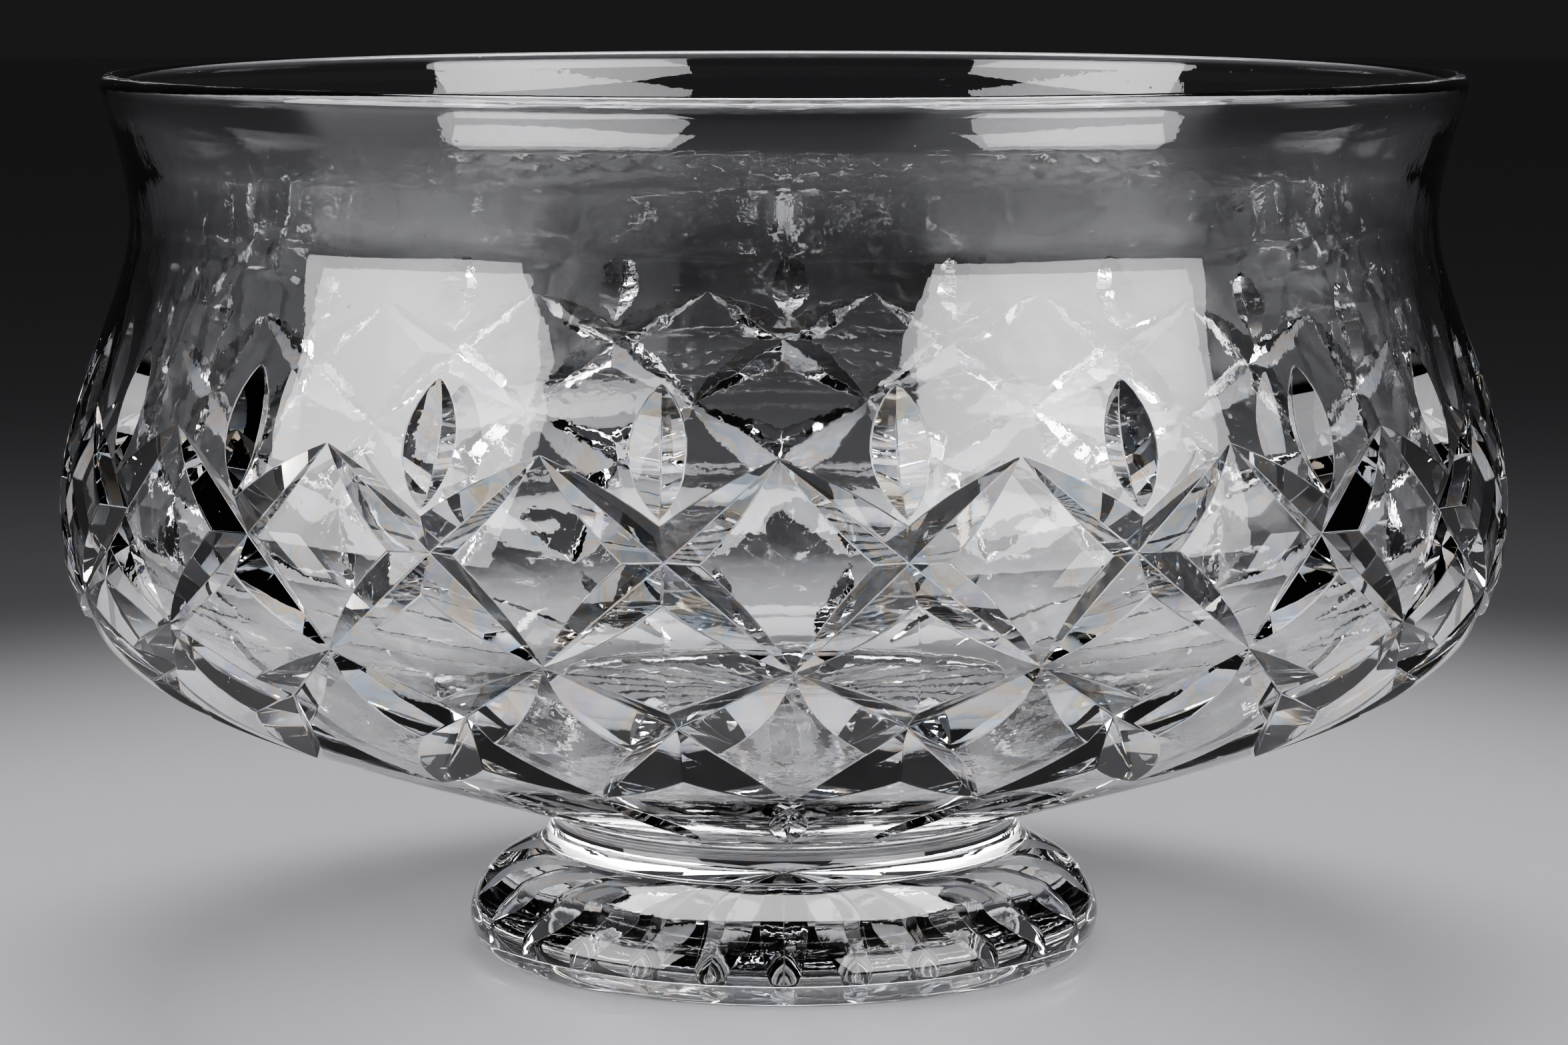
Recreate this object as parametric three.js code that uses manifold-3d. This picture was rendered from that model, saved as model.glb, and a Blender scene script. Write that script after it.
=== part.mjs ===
// Footed cut-crystal punch bowl: a blown and wheel-cut bowl, a short collar and a star-cut foot,
// joined hot on one axis. Millimetres, +Z up, origin at the centre of the foot's standing ring.
import * as THREE from "three";
import Module from "manifold-3d";
import { mergeVertices } from "three/addons/utils/BufferGeometryUtils.js";

const wasm = await Module();
wasm.setup();

// Foot: a thick low dome of solid glass that stands on a flat ring. Insets are from its edge.
const footRadius = 66.5;
const footEquatorHeight = 5.9;
const standingInset = 2.5;
const standingRingWidth = 5.5;
const shoulderInset = 6.0;
const shoulderHeight = 16.0;
const shoulderSlope = 35.0;
const footTopInset = 15.0;
const footTopSlope = 45.0;
const footHeight = 21.7;

// Hollow ground under the foot inside the standing ring, and the star cut into its ceiling:
// V rays from the centre that run out past their knees, short of the hollow's wall. Depths are
// into the ceiling.
const hollowDepth = 3.6;
const hollowWallRun = 1.5;
const starRays = 24;
const starHalfAngle = 65.0;
const starCentreDepth = 3.3;
const starKneeDepth = 1.6;
const starKneeInset = 7.0;
const starEndMargin = 0.7;

// Collar between foot and bowl.
const collarHeight = 7.0;
const collarHollow = 0.9;
const collarTopRadius = 49.3;

// Seam that stands for each hot joint.
const seamGap = 0.3;

// Bowl: outside.
const bellyRadius = 150.0;
const bellyHeight = 93.0;
const waistRadius = 134.7;
const waistHeight = 153.0;
const rimRadius = 140.4;
const rimHeight = 182.5;
const rimFlare = 0.27;
const undersideSlope = 19.6;

// How full each curve is: the length of its handle as a share of the stretch it spans.
const undersideFullness = 0.7;
const bellyFullnessBelow = 0.59;
const bellyFullnessAbove = 0.41;
const waistFullnessBelow = 0.26;
const waistFullnessAbove = 0.35;
const lipFullness = 0.3;
const innerBellyFullness = 0.68;
const floorFullness = 0.6;
const edgeFullness = 0.25;
const wallFullness = 0.33;
const domeFullness = 0.31;
const collarFullness = 0.4;

// Bowl: walls.
const rimWall = 4.8;
const waistWall = 6.6;
const bellyWall = 10.0;
const floorThickness = 13.5;

// Cut pattern: heights are measured from the belly, up positive.
const columns = 21;
const cutHalfAngle = 54.0;
const pointLift = 0.15;
const secondCutExtra = 0.3;
const upperPointRise = 26.2;
const upperCrossingRise = 8.2;
const upperCutDepth = 3.6;
const meetingPointDrop = 11.2;
const lowerCrossingDrop = 27.3;
const lowerCutDepth = 5.0;
const lowerPointInset = 33.5;
const leafLength = 23.0;
const leafBottomRise = 15.8;
const leafDepth = 3.5;
const fluteOuterInset = 38.0;
const fluteInnerMargin = 8.0;
const fluteDepth = 2.6;

// Fineness of the faceting.
const bowlSegments = columns * 3;
const footSegments = 60;
const wheelSegments = 20;
const cutReach = 11.0;
const pointOverrun = 2.5;
const crossingOverrun = 3.0;
const starKneeOverrun = 1.0;

const radians = THREE.MathUtils.degToRad;
const standingRadius = footRadius - standingInset;
const ringInnerRadius = standingRadius - standingRingWidth;
const hollowRadius = ringInnerRadius - hollowWallRun;
const shoulderRadius = footRadius - shoulderInset;
const footTopRadius = footRadius - footTopInset;
const bowlBaseHeight = footHeight + collarHeight;
const columnAngle = (2 * Math.PI) / columns;

// A cubic curve in the radius-height plane.
function curve(x0, y0, x1, y1, x2, y2, x3, y3) {
  return new THREE.CubicBezierCurve(
    new THREE.Vector2(x0, y0),
    new THREE.Vector2(x1, y1),
    new THREE.Vector2(x2, y2),
    new THREE.Vector2(x3, y3),
  );
}

// Joins curves end to end into one list of profile points.
function trace(pieces) {
  const points = [];
  for (const [piece, steps] of pieces) {
    const part = piece.getPoints(steps);
    points.push(...(points.length ? part.slice(1) : part));
  }
  return points;
}

// The outside of the bowl in three stretches: under the belly, belly to waist, waist to rim.
const underRise = bellyHeight - bowlBaseHeight;
const underRun = bellyRadius - collarTopRadius;
const underHandle = undersideFullness * underRun;
const undersideCurve = curve(
  collarTopRadius,
  bowlBaseHeight,
  collarTopRadius + underHandle * Math.cos(radians(undersideSlope)),
  bowlBaseHeight + underHandle * Math.sin(radians(undersideSlope)),
  bellyRadius,
  bellyHeight - bellyFullnessBelow * underRise,
  bellyRadius,
  bellyHeight,
);
const sideRise = waistHeight - bellyHeight;
const sideCurve = curve(
  bellyRadius,
  bellyHeight,
  bellyRadius,
  bellyHeight + bellyFullnessAbove * sideRise,
  waistRadius,
  waistHeight - waistFullnessBelow * sideRise,
  waistRadius,
  waistHeight,
);
const lipRadius = rimWall / 2;
const lipCentreHeight = rimHeight - lipRadius;
const rimRise = lipCentreHeight - waistHeight;
const rimCurve = curve(
  waistRadius,
  waistHeight,
  waistRadius,
  waistHeight + waistFullnessAbove * rimRise,
  rimRadius - rimFlare * lipFullness * rimRise,
  lipCentreHeight - lipFullness * rimRise,
  rimRadius,
  lipCentreHeight,
);

// The inside follows the outside at each wall thickness and ends flat on the axis.
const floorHeight = bowlBaseHeight + floorThickness;
const innerWaist = waistRadius - waistWall;
const innerBelly = bellyRadius - bellyWall;
const innerRim = rimRadius - rimWall;
const innerRimCurve = curve(
  innerRim,
  lipCentreHeight,
  innerRim - rimFlare * lipFullness * rimRise,
  lipCentreHeight - lipFullness * rimRise,
  innerWaist,
  waistHeight + waistFullnessAbove * rimRise,
  innerWaist,
  waistHeight,
);
const innerSideCurve = curve(
  innerWaist,
  waistHeight,
  innerWaist,
  waistHeight - waistFullnessBelow * sideRise,
  innerBelly,
  bellyHeight + bellyFullnessAbove * sideRise,
  innerBelly,
  bellyHeight,
);
const innerFloorCurve = curve(
  innerBelly,
  bellyHeight,
  innerBelly,
  bellyHeight - innerBellyFullness * (bellyHeight - floorHeight),
  floorFullness * innerBelly,
  floorHeight,
  0,
  floorHeight,
);
const lipCurve = new THREE.EllipseCurve(
  rimRadius - lipRadius,
  lipCentreHeight,
  lipRadius,
  lipRadius,
  0,
  Math.PI,
  false,
  0,
);

// Turns a profile, given from the axis round to the axis, into a closed body.
function turned(profile, segments) {
  const geometry = new THREE.LatheGeometry(profile, segments);
  geometry.rotateX(Math.PI / 2);
  return geometry;
}

// A closed geometry as a solid that can be joined and cut.
function solid(geometry) {
  const bare = geometry.clone();
  bare.deleteAttribute("normal");
  bare.deleteAttribute("uv");
  const merged = mergeVertices(bare, 1e-4);
  const mesh = new wasm.Mesh({
    numProp: 3,
    vertProperties: new Float32Array(merged.getAttribute("position").array),
    triVerts: new Uint32Array(merged.index.array),
  });
  return new wasm.Manifold(mesh);
}

// A solid back as a three.js geometry.
function geometryOf(body) {
  const mesh = body.getMesh();
  const geometry = new THREE.BufferGeometry();
  geometry.setAttribute("position", new THREE.BufferAttribute(mesh.vertProperties, 3));
  geometry.setIndex(new THREE.BufferAttribute(mesh.triVerts, 1));
  geometry.computeVertexNormals();
  return geometry;
}

// Takes a list of cutters out of a solid.
function cutAway(body, cutters) {
  return cutters.reduce((left, cutter) => left.subtract(cutter), body);
}

// A straight V cut whose bottom edge runs from one point to another and opens along outward.
function straightCut(from, to, outward, overrunFrom, overrunTo, halfAngle = cutHalfAngle) {
  const along = to.clone().sub(from).normalize();
  const side = new THREE.Vector3().crossVectors(outward, along).normalize();
  const up = new THREE.Vector3().crossVectors(along, side).normalize();
  const halfWidth = cutReach * Math.tan(radians(halfAngle));
  const section = new THREE.Shape([
    new THREE.Vector2(0, 0),
    new THREE.Vector2(halfWidth, cutReach),
    new THREE.Vector2(-halfWidth, cutReach),
  ]);
  const depth = from.distanceTo(to) + overrunFrom + overrunTo;
  const wedge = new THREE.ExtrudeGeometry(section, { depth, steps: 1, bevelEnabled: false });
  const start = from.clone().addScaledVector(along, -overrunFrom);
  const place = new THREE.Matrix4().makeBasis(side, up, along).setPosition(start);
  return solid(wedge.applyMatrix4(place));
}

// Finds where a curve reaches a height (axis "y") or a radius (axis "x"), by halving.
function reach(along, axis, value) {
  let low = 0;
  let high = 1;
  const rising = along.getPoint(1)[axis] > along.getPoint(0)[axis];
  for (let step = 0; step < 40; step += 1) {
    const middle = (low + high) / 2;
    if (along.getPoint(middle)[axis] < value === rising) low = middle;
    else high = middle;
  }
  return low;
}

// A point on, or below, the outside of the bowl, with the outward direction there.
function onBowl(along, share, angle, depth = 0) {
  const spot = along.getPoint(share);
  const run = along.getTangent(share);
  const round = new THREE.Vector3(Math.sin(angle), -Math.cos(angle), 0);
  const outward = round.clone().multiplyScalar(run.y);
  outward.z = -run.x;
  const point = round.clone().multiplyScalar(spot.x);
  point.z = spot.y;
  point.addScaledVector(outward, -depth);
  return { point, outward };
}

const upperPointShare = reach(sideCurve, "y", bellyHeight + upperPointRise);
const upperCrossingShare = reach(sideCurve, "y", bellyHeight + upperCrossingRise);
const meetingShare = reach(undersideCurve, "y", bellyHeight - meetingPointDrop);
const lowerCrossingShare = reach(undersideCurve, "y", bellyHeight - lowerCrossingDrop);
const lowerPointShare = reach(undersideCurve, "x", bellyRadius - lowerPointInset);

// One arm of a mitre, from its point on a column to the crossing half a column away. The path
// bends towards the glass at the crossing, so the overrun there stays inside the other arm.
function arm(tip, crossing) {
  const outward = tip.outward.clone().add(crossing.outward);
  return straightCut(tip.point, crossing.point, outward, pointOverrun, crossingOverrun);
}

// The crossed mitres of one column space: two rings of X cuts, meeting point to point. Each point
// stops just short of the next one, and the second cut of an X crosses a little below the first.
function crossedMitres(column) {
  const left = column * columnAngle;
  const middle = (column + 0.5) * columnAngle;
  const right = (column + 1) * columnAngle;
  const cutPair = (topCurve, topShare, crossCurve, crossShare, bottomCurve, bottomShare, depth) => {
    const arms = [];
    for (const [from, to, extra] of [
      [left, right, 0],
      [right, left, secondCutExtra],
    ]) {
      const crossing = onBowl(crossCurve, crossShare, middle, depth + extra);
      arms.push(arm(onBowl(topCurve, topShare, from, -pointLift), crossing));
      arms.push(arm(onBowl(bottomCurve, bottomShare, to, -pointLift), crossing));
    }
    return arms;
  };
  const under = undersideCurve;
  return [
    ...cutPair(
      sideCurve,
      upperPointShare,
      sideCurve,
      upperCrossingShare,
      under,
      meetingShare,
      upperCutDepth,
    ),
    ...cutPair(
      under,
      meetingShare,
      under,
      lowerCrossingShare,
      under,
      lowerPointShare,
      lowerCutDepth,
    ),
  ];
}

// The upright leaf above a crossing: one dip of a V-edged wheel.
function leafCut(column) {
  const angle = (column + 0.5) * columnAngle;
  const share = (rise) => reach(sideCurve, "y", bellyHeight + rise);
  const bottom = onBowl(sideCurve, share(leafBottomRise), angle).point;
  const top = onBowl(sideCurve, share(leafBottomRise + leafLength), angle).point;
  const middle = onBowl(sideCurve, share(leafBottomRise + leafLength / 2), angle);
  const deepest = middle.point.clone().addScaledVector(middle.outward, -leafDepth);
  const chord = top.distanceTo(bottom) / 2;
  const centreOfChord = top.clone().add(bottom).multiplyScalar(0.5);
  const sag = deepest.distanceTo(centreOfChord);
  const wheelRadius = (chord * chord + sag * sag) / (2 * sag);
  const halfWidth = wheelRadius * Math.tan(radians(cutHalfAngle));
  const edge = [
    new THREE.Vector2(0, -halfWidth),
    new THREE.Vector2(wheelRadius, 0),
    new THREE.Vector2(0, halfWidth),
  ];
  const wheel = new THREE.LatheGeometry(edge, wheelSegments);
  const axle = new THREE.Vector3(Math.cos(angle), Math.sin(angle), 0);
  const out = middle.outward;
  const third = new THREE.Vector3().crossVectors(out, axle);
  const centre = deepest.clone().addScaledVector(out, wheelRadius);
  const place = new THREE.Matrix4().makeBasis(out, axle, third).setPosition(centre);
  return solid(wheel.applyMatrix4(place));
}

// The long flute under the bowl, from below a lower point towards the collar.
function fluteCut(column) {
  const angle = column * columnAngle;
  const outer = onBowl(
    undersideCurve,
    reach(undersideCurve, "x", bellyRadius - fluteOuterInset),
    angle,
  );
  const innerRadius = collarTopRadius + fluteInnerMargin;
  const inner = onBowl(undersideCurve, reach(undersideCurve, "x", innerRadius), angle);
  const middleRadius = (bellyRadius - fluteOuterInset + innerRadius) / 2;
  const middleShare = reach(undersideCurve, "x", middleRadius);
  const middle = onBowl(undersideCurve, middleShare, angle, fluteDepth);
  return [arm(outer, middle), arm(inner, middle)];
}

// One ray of the star: from the foot's centre to the knee, and on to its end by the wall.
function starRay(index) {
  const angle = (index * 2 * Math.PI) / starRays;
  const along = (radius, depth) =>
    new THREE.Vector3(radius * Math.sin(angle), -radius * Math.cos(angle), hollowDepth + depth);
  const centre = along(0, starCentreDepth);
  const knee = along(hollowRadius - starKneeInset, starKneeDepth);
  const end = along(hollowRadius - starEndMargin, 0);
  const down = new THREE.Vector3(0, 0, -1);
  return [
    straightCut(centre, knee, down, 0, starKneeOverrun, starHalfAngle),
    straightCut(end, knee, down, 0, starKneeOverrun, starHalfAngle),
  ];
}

function makeBowl() {
  const seat = new THREE.LineCurve(
    new THREE.Vector2(0, bowlBaseHeight + seamGap / 2),
    new THREE.Vector2(collarTopRadius, bowlBaseHeight + seamGap / 2),
  );
  const body = turned(
    trace([
      [seat, 1],
      [undersideCurve, 7],
      [sideCurve, 5],
      [rimCurve, 3],
      [lipCurve, 4],
      [innerRimCurve, 2],
      [innerSideCurve, 3],
      [innerFloorCurve, 5],
    ]),
    bowlSegments,
  );
  const cutters = [];
  for (let column = 0; column < columns; column += 1) {
    cutters.push(...crossedMitres(column), leafCut(column), ...fluteCut(column));
  }
  return geometryOf(cutAway(solid(body), cutters));
}

// A point a distance back from a spot on a rising profile that leans inwards at a slope.
function handle(radius, height, slope, distance) {
  return [
    radius + distance * Math.cos(radians(slope)),
    height - distance * Math.sin(radians(slope)),
  ];
}

function makeCollar() {
  const bottom = footHeight + seamGap / 2;
  const top = bowlBaseHeight - seamGap / 2;
  const rise = top - bottom;
  const hollow = curve(
    footTopRadius,
    bottom,
    ...handle(footTopRadius, bottom, footTopSlope, -collarFullness * rise),
    collarTopRadius - collarHollow * Math.SQRT2,
    top - rise / 3,
    collarTopRadius,
    top,
  );
  const profile = [new THREE.Vector2(0, bottom), ...hollow.getPoints(7), new THREE.Vector2(0, top)];
  return turned(profile, footSegments);
}

function makeFoot() {
  const top = footHeight - seamGap / 2;
  const wallRise = shoulderHeight - footEquatorHeight;
  const domeRun = shoulderRadius - footTopRadius;
  const edge = curve(
    standingRadius,
    0,
    standingRadius + standingInset * (1 - edgeFullness),
    edgeFullness * footEquatorHeight,
    footRadius,
    footEquatorHeight - edgeFullness * footEquatorHeight,
    footRadius,
    footEquatorHeight,
  );
  const wall = curve(
    footRadius,
    footEquatorHeight,
    footRadius,
    footEquatorHeight + wallFullness * wallRise,
    ...handle(shoulderRadius, shoulderHeight, shoulderSlope, wallFullness * wallRise),
    shoulderRadius,
    shoulderHeight,
  );
  const dome = curve(
    shoulderRadius,
    shoulderHeight,
    ...handle(shoulderRadius, shoulderHeight, shoulderSlope, -domeFullness * domeRun),
    ...handle(footTopRadius, top, footTopSlope, domeFullness * domeRun),
    footTopRadius,
    top,
  );
  const profile = [
    new THREE.Vector2(0, hollowDepth),
    new THREE.Vector2(hollowRadius, hollowDepth),
    new THREE.Vector2(ringInnerRadius, 0),
    ...trace([
      [edge, 3],
      [wall, 5],
      [dome, 5],
    ]),
    new THREE.Vector2(0, top),
  ];
  const rays = [];
  for (let index = 0; index < starRays; index += 1) rays.push(...starRay(index));
  return geometryOf(cutAway(solid(turned(profile, footSegments)), rays));
}

const crystal = new THREE.MeshStandardMaterial({ color: 0xe3e7ea, roughness: 0.04, metalness: 0 });

function piece(name, geometry) {
  const mesh = new THREE.Mesh(geometry, crystal.clone());
  mesh.name = name;
  return mesh;
}

const group = new THREE.Group();
group.name = "punch_bowl";
group.add(piece("foot", makeFoot()));
group.add(piece("collar", makeCollar()));
group.add(piece("bowl", makeBowl()));

export default group;
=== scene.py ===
import bmesh
import bpy
import numpy as np
from mathutils import Euler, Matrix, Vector


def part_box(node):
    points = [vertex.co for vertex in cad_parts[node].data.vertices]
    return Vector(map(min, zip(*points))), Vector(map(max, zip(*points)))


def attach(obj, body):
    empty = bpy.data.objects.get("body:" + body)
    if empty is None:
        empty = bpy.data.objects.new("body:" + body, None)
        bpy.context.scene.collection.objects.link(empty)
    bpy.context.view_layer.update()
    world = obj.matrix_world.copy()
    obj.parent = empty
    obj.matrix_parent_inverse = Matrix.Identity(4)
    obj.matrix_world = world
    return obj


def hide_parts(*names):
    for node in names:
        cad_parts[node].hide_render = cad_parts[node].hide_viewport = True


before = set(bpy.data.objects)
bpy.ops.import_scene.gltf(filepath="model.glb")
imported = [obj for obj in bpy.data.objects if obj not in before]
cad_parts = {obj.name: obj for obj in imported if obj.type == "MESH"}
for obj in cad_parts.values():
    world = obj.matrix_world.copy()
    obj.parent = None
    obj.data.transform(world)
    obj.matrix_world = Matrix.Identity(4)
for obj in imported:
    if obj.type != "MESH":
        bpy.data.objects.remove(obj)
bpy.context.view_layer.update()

scene = bpy.context.scene

# ---------------------------------------------------------------------------------------------
# The bowl. One heavy gather of clear lead crystal, blown into a round belly with a waist and a
# flared lip. The lip is fire-polished; the outside is cut cold on a V-edged wheel and polished.
# ---------------------------------------------------------------------------------------------
MM = 0.001
bowl_low, bowl_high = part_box("bowl")
collar_low, collar_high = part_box("collar")

rim_height = bowl_high.z / MM
bowl_base = (bowl_low.z + collar_high.z) / 2 / MM
belly_radius = 150.0
belly_height = 93.0
waist_radius = 134.7
waist_height = 153.0
rim_radius = 140.4
rim_flare = 0.27
rim_wall = 4.8
waist_wall = 6.6
belly_wall = 10.0
floor_thickness = 13.5
seat_radius = 49.3
underside_slope = np.radians(19.6)

# How far the handles of each curve reach, as shares of its rise or run: the smaller the share,
# the sharper the turn at that end.
underside_fullness = 0.7
belly_fullness_below = 0.59
belly_fullness_above = 0.41
waist_fullness_below = 0.26
waist_fullness_above = 0.35
lip_fullness = 0.3
inner_belly_fullness = 0.68
floor_fullness = 0.6

columns = 21
column_half = np.pi / columns
cut_half_angle = np.radians(54.0)
leaf_half_angle = np.radians(57.0)


def bend(p0, p1, p2, p3, share):
    """A cubic curve: the four points weighted by the cubic Bernstein shares of one number."""
    t = np.asarray(share)[:, None]
    ends = (1 - t) ** 3 * np.array(p0) + t**3 * np.array(p3)
    return ends + 3 * (1 - t) ** 2 * t * np.array(p1) + 3 * (1 - t) * t**2 * np.array(p2)


def joined(*stretches):
    """Stretches of one outline set end to end, each without the point it shares with the last."""
    return np.vstack([stretches[0]] + [stretch[1:] for stretch in stretches[1:]])


def travelled(outline):
    """Distance along an outline from its first point to each point."""
    return np.r_[0, np.cumsum(np.hypot(*np.diff(outline, axis=0).T))]


outline_points = 600
fine = np.linspace(0, 1, outline_points)
under_rise = belly_height - bowl_base
under_run = belly_radius - seat_radius
side_rise = waist_height - belly_height
lip_radius = rim_wall / 2
lip_height = rim_height - lip_radius
rim_rise = lip_height - waist_height
lip_reach = lip_fullness * rim_rise

outside = joined(
    bend(
        (seat_radius, bowl_base),
        (
            seat_radius + underside_fullness * under_run * np.cos(underside_slope),
            bowl_base + underside_fullness * under_run * np.sin(underside_slope),
        ),
        (belly_radius, belly_height - belly_fullness_below * under_rise),
        (belly_radius, belly_height),
        fine,
    ),
    bend(
        (belly_radius, belly_height),
        (belly_radius, belly_height + belly_fullness_above * side_rise),
        (waist_radius, waist_height - waist_fullness_below * side_rise),
        (waist_radius, waist_height),
        fine,
    ),
    bend(
        (waist_radius, waist_height),
        (waist_radius, waist_height + waist_fullness_above * rim_rise),
        (rim_radius - rim_flare * lip_reach, lip_height - lip_reach),
        (rim_radius, lip_height),
        fine,
    ),
)
outside_run = travelled(outside)

floor_height = bowl_base + floor_thickness
inner_rim = rim_radius - rim_wall
inner_waist = waist_radius - waist_wall
inner_belly = belly_radius - belly_wall
inside = joined(
    bend(
        (inner_rim, lip_height),
        (inner_rim - rim_flare * lip_reach, lip_height - lip_reach),
        (inner_waist, waist_height + waist_fullness_above * rim_rise),
        (inner_waist, waist_height),
        fine,
    ),
    bend(
        (inner_waist, waist_height),
        (inner_waist, waist_height - waist_fullness_below * side_rise),
        (inner_belly, belly_height + belly_fullness_above * side_rise),
        (inner_belly, belly_height),
        fine,
    ),
    bend(
        (inner_belly, belly_height),
        (inner_belly, belly_height - inner_belly_fullness * (belly_height - floor_height)),
        (floor_fullness * inner_belly, floor_height),
        (0, floor_height),
        fine,
    ),
)
inside_run = travelled(inside)


def run_at_height(height):
    """Distance along the outside at which it reaches a height; the outside only ever rises."""
    return np.interp(height, outside[:, 1], outside_run)


def run_at_radius(radius):
    """Distance along the underside at which it reaches a radius, below the belly."""
    below = len(fine)
    return np.interp(radius, outside[:below, 0], outside_run[:below])


def on_outside(angle, run):
    """A point of the bowl's outside: the outline at a distance along it, turned by an angle."""
    radius = np.interp(run, outside_run, outside[:, 0])
    height = np.interp(run, outside_run, outside[:, 1])
    return np.stack(
        np.broadcast_arrays(radius * np.sin(angle), -radius * np.cos(angle), height), axis=-1
    )


def unit(vector):
    """A vector, or a row of vectors, divided by its length."""
    return vector / np.linalg.norm(vector, axis=-1, keepdims=True)


def outward(angle, run):
    """The direction straight out of the outside: the cross product of its two slopes."""
    small_turn, small_run = 1e-4, 0.05
    round_it = on_outside(angle + small_turn, run) - on_outside(angle - small_turn, run)
    along_it = on_outside(angle, run + small_run) - on_outside(angle, run - small_run)
    return unit(np.cross(round_it, along_it))


def stand_off(points):
    """How far points stand outside the outline, measured level from the axis."""
    return np.hypot(points[..., 0], points[..., 1]) - np.interp(
        points[..., 2], outside[:, 1], outside[:, 0]
    )


def surfaced(start, direction):
    """Carries each start point along its direction until it meets the outside, by halving."""
    farthest, halvings = 40.0, 52
    near = np.zeros(np.broadcast_shapes(start.shape, direction.shape)[:-1])
    far = near + farthest
    for _ in range(halvings):
        middle = (near + far) / 2
        inside_glass = stand_off(start + middle[..., None] * direction) < 0
        near = np.where(inside_glass, middle, near)
        far = np.where(inside_glass, far, middle)
    return start + near[..., None] * direction


def ruled(one, other, shares):
    """The surface between two edges: straight lines between them, divided at the shares."""
    return one[:, None] * (1 - shares[None, :, None]) + other[:, None] * shares[None, :, None]


# Spacing of the mesh lines. The lines close to 0 and 1 lie just beside the cut edges, so the
# shading turns over a fraction of a millimetre there, as acid polishing leaves a cut edge.
along_cut = np.array([0, 0.02, 0.07, 0.16, 0.27, 0.39, 0.51, 0.63, 0.75, 0.86, 0.94, 0.985, 1])
across_cut = np.array([0, 0.045, 0.5, 0.955, 1])
across_blank = np.array([0, 0.03, 0.16, 0.38, 0.62, 0.84, 0.97, 1])
column_shares = along_cut


def cut_arm(tip, crossing, way_out):
    """One half of a V cut from its point to its crossing: the straight bottom, and the
    directions in which its two flanks leave that bottom."""
    along = unit(crossing - tip)
    side = unit(np.cross(way_out, along))
    up = np.cross(along, side)
    lean = np.cos(cut_half_angle) * up
    spread = np.sin(cut_half_angle) * side
    return along, lean + spread, lean - spread


def flank(tip, crossing, along, leaving, corner):
    """A flat flank of a cut: lines from the cut's bottom to its border, where the border runs
    from the tip to a corner that lies in the same plane."""
    length = np.linalg.norm(crossing - tip)
    corner_share = np.dot(corner - tip, along) / length
    bottom = tip + along_cut[:, None] * (crossing - tip)
    border = surfaced(tip + (along_cut * corner_share)[:, None] * (crossing - tip), leaving)
    border[0] = tip
    border[-1] = corner
    return bottom, border


def level_blank(left, right, shares):
    """Uncut surface between two edges: each pair of edge points is joined over the outside, by
    blending their angles and their distances along the outline."""
    grid = ruled(surface_place(left), surface_place(right), shares)
    points = on_outside(grid[..., 0], grid[..., 1])
    points[:, 0] = left
    points[:, -1] = right
    return points


def surface_place(points):
    """Angle and distance along the outline of points that lie on the outside."""
    angle = np.arctan2(points[..., 0], -points[..., 1])
    run = np.interp(points[..., 2], outside[:, 1], outside_run)
    return np.stack([angle, run], axis=-1)


def framed_blank(low, high, left, right):
    """Uncut surface inside four edges: the blend of the two pairs of edges less the blend of
    the four corners, in angle and distance along the outline. low and high run left to right,
    left and right run low to high."""
    low_place, high_place = surface_place(low), surface_place(high)
    left_place, right_place = surface_place(left), surface_place(right)
    across = column_shares[:, None, None]
    rising = right_place[:, 1] - right_place[0, 1]
    rising = (rising / rising[-1])[None, :, None]
    pairs = (1 - rising) * low_place[:, None] + rising * high_place[:, None]
    sides = (1 - across) * left_place[None] + across * right_place[None]
    corners = (1 - across) * (
        (1 - rising) * low_place[0] + rising * high_place[0]
    ) + across * ((1 - rising) * low_place[-1] + rising * high_place[-1])
    grid = pairs + sides - corners
    points = on_outside(grid[..., 0], grid[..., 1])
    points[:, 0] = low
    points[:, -1] = high
    points[0] = left
    points[-1] = right
    return points


def crossed_ring(top_run, crossing_run, bottom_run, depth):
    """One ring of X cuts in half a column: the four flanks of its two arms, and the corners
    that they leave: the upper notch, the lower notch and the side corner of the diamond."""
    top = on_outside(0.0, top_run)
    bottom = on_outside(0.0, bottom_run)
    way_out = outward(column_half, crossing_run)
    crossing = on_outside(column_half, crossing_run) - depth * way_out
    upper = cut_arm(top, crossing, outward(0.0, top_run) + way_out)
    lower = cut_arm(bottom, crossing, outward(0.0, bottom_run) + way_out)
    middle_plane = np.array([np.cos(column_half), np.sin(column_half), 0.0])
    # Of the two flanks of each arm, the outer one faces the notch and the inner one the diamond.
    upper_outer, upper_inner = sorted(upper[1:], key=lambda way: -way[2])
    lower_outer, lower_inner = sorted(lower[1:], key=lambda way: way[2])

    def meeting_line(plane_one, plane_two):
        line = unit(np.cross(plane_one, plane_two))
        return line * np.sign(np.dot(line, way_out))

    upper_notch_line = meeting_line(np.cross(upper[0], upper_outer), middle_plane)
    lower_notch_line = meeting_line(np.cross(lower[0], lower_outer), middle_plane)
    corner_line = meeting_line(np.cross(upper[0], upper_inner), np.cross(lower[0], lower_inner))
    upper_notch = surfaced(crossing, upper_notch_line)
    lower_notch = surfaced(crossing, lower_notch_line)
    corner = surfaced(crossing, corner_line)
    edges = {
        "upper_outer": flank(top, crossing, upper[0], upper_outer, upper_notch),
        "upper_inner": flank(top, crossing, upper[0], upper_inner, corner),
        "lower_inner": flank(bottom, crossing, lower[0], lower_inner, corner),
        "lower_outer": flank(bottom, crossing, lower[0], lower_outer, lower_notch),
    }
    return edges


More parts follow.
